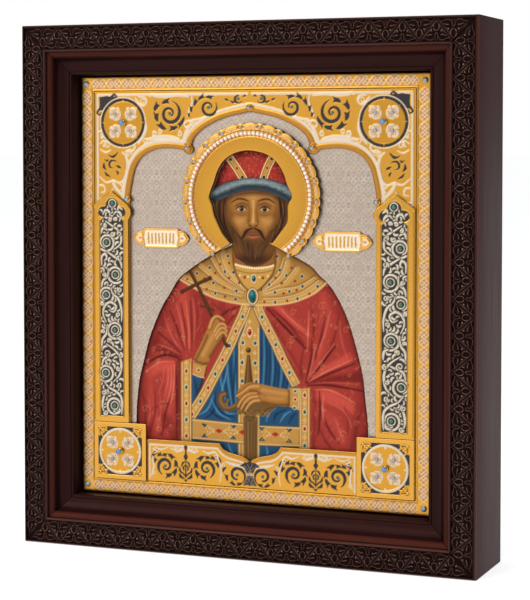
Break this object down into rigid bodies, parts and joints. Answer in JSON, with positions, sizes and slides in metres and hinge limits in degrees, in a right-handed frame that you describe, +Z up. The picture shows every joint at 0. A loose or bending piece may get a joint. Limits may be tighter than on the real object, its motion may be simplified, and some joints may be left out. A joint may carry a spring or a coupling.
{
  "type": "framed icon panel",
  "caption": "Painted half-length figure on a wooden board, under a gilded and enamelled metal cover with a pearled halo, in a deep mitred frame with zigzag carving.",
  "frame": {"origin": "middle of the underside, on the surface the frame stands on", "axes": "+Z up the panel, the painted front faces -Y, +X to the viewer's right"},
  "size_m": [0.3624, 0.07, 0.4],
  "materials": {
    "mahogany": "dark carved mahogany with a worn satin polish",
    "painted_board": "primed wooden board painted in egg tempera under varnish",
    "backing_wood": "plain brown backing board, matt",
    "gilt": "gilded silver, chased, soft shine",
    "silver": "silver sheet engraved with a fine lattice, satin",
    "enamelled_silver": "silver scrollwork with black and gold enamel",
    "blue_enamel": "blue enamel, glossy",
    "pearl": "pearl, soft lustre",
    "pale_stone": "pale blue cut stone, glossy"
  },
  "bodies": {
    "root": {"frame_top": "mahogany", "frame_bottom": "mahogany", "frame_left": "mahogany", "frame_right": "mahogany", "icon_board": "painted_board", "back_board": "backing_wood", "border_plate": "gilt", "ground_plate": "silver", "arch_plate": "enamelled_silver", "halo_plate": "gilt", "pearl_string": "pearl", "column_left": "gilt", "corner_square_left": "enamelled_silver", "cartouche_left": "gilt", "border_stud_top_left": "blue_enamel", "border_stud_bottom_left": "blue_enamel", "medallion_stud_top_left": "blue_enamel", "medallion_stud_bottom_left": "blue_enamel", "arch_stud_knee_left": "gilt", "arch_stud_foot_left": "gilt", "column_right": "gilt", "corner_square_right": "enamelled_silver", "cartouche_right": "gilt", "border_stud_top_right": "blue_enamel", "border_stud_bottom_right": "blue_enamel", "medallion_stud_top_right": "blue_enamel", "medallion_stud_bottom_right": "blue_enamel", "arch_stud_knee_right": "gilt", "arch_stud_foot_right": "gilt", "arch_stud_top": "gilt", "halo_stone_01": "pale_stone", "halo_stone_02": "pale_stone", "halo_stone_03": "pale_stone", "halo_stone_04": "pale_stone", "halo_stone_05": "pale_stone", "halo_stone_06": "pale_stone", "halo_stone_07": "pale_stone", "halo_stone_08": "pale_stone", "halo_stone_09": "pale_stone", "halo_stone_10": "pale_stone", "halo_stone_11": "pale_stone", "halo_stone_12": "pale_stone", "halo_stone_13": "pale_stone", "halo_stone_14": "pale_stone", "halo_stone_15": "pale_stone", "halo_stone_16": "pale_stone", "halo_stone_17": "pale_stone", "halo_stone_18": "pale_stone"}
  },
  "joints": []
}
